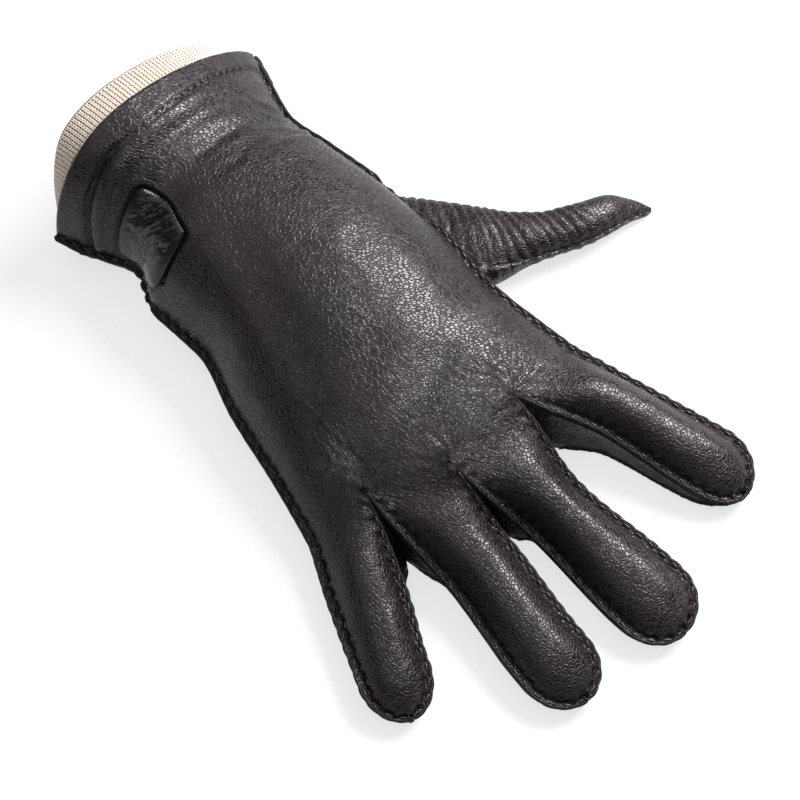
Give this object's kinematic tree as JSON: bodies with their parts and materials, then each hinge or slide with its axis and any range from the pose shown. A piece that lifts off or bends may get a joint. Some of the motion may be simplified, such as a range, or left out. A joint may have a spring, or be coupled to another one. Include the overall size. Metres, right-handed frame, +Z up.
{
  "type": "deerskin glove",
  "caption": "Lined deerskin glove for the right hand, palm down, with hand-stitched outside seams, a gathered wrist, a turned hem and a ribbed knit lining showing at the cuff.",
  "frame": {"origin": "on the surface that the glove rests on, under the middle of its bounding box", "axes": "+Y from the fingers towards the cuff, +Z up from the palm side to the back, +X towards the thumb"},
  "size_m": [0.197, 0.253, 0.0538],
  "materials": {
    "deerskin": "dark brown, near black, with a soft sheen and a pebbled grain",
    "patch_leather": "dark brown, near black, puckered",
    "knit": "cream ribbed knit, matt"
  },
  "bodies": {
    "root": {"back_panel": "deerskin", "palm_panel": "deerskin", "fourchette_little_ring": "deerskin", "fourchette_ring_middle": "deerskin", "fourchette_middle_index": "deerskin", "thumb": "deerskin", "cuff_patch": "patch_leather", "knit_lining": "knit"}
  },
  "joints": []
}
